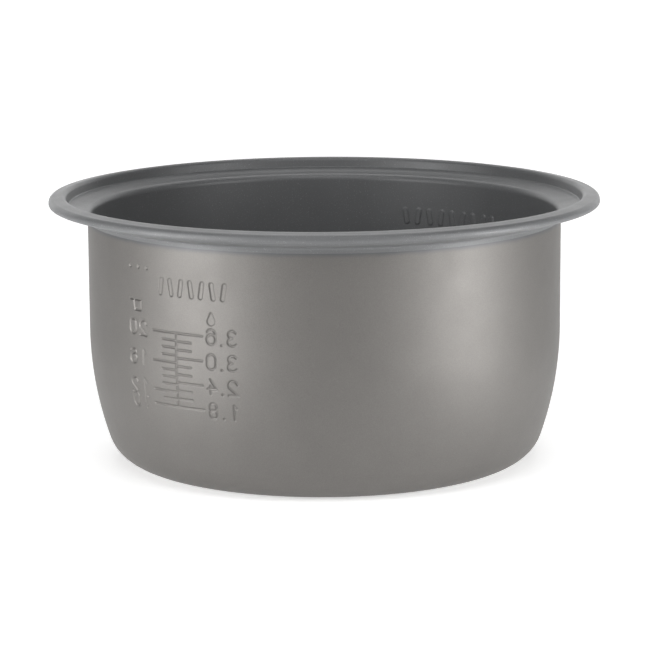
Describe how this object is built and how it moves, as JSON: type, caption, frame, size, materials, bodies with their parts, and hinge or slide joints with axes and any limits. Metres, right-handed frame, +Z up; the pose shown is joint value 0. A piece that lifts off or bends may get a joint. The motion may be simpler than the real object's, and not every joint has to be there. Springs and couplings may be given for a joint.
{
  "type": "rice cooker inner pot",
  "caption": "Round deep-drawn inner cooking pot with a flat base, rolled flange, non-stick lining and a stamped water-level scale.",
  "frame": {"origin": "centre of the flat base, on the surface that the pot stands on", "axes": "+Z up along the pot's axis of revolution; -Y is the front, and the water-level scale is at the front left, between -Y and -X"},
  "size_m": [0.3349, 0.335, 0.1633],
  "materials": {
    "pan_metal": "satin",
    "nonstick": "satin",
    "outer_coat": "satin"
  },
  "bodies": {
    "root": {"pan_shell": "pan_metal", "nonstick_lining": "nonstick", "outer_coating": "outer_coat"}
  },
  "joints": []
}
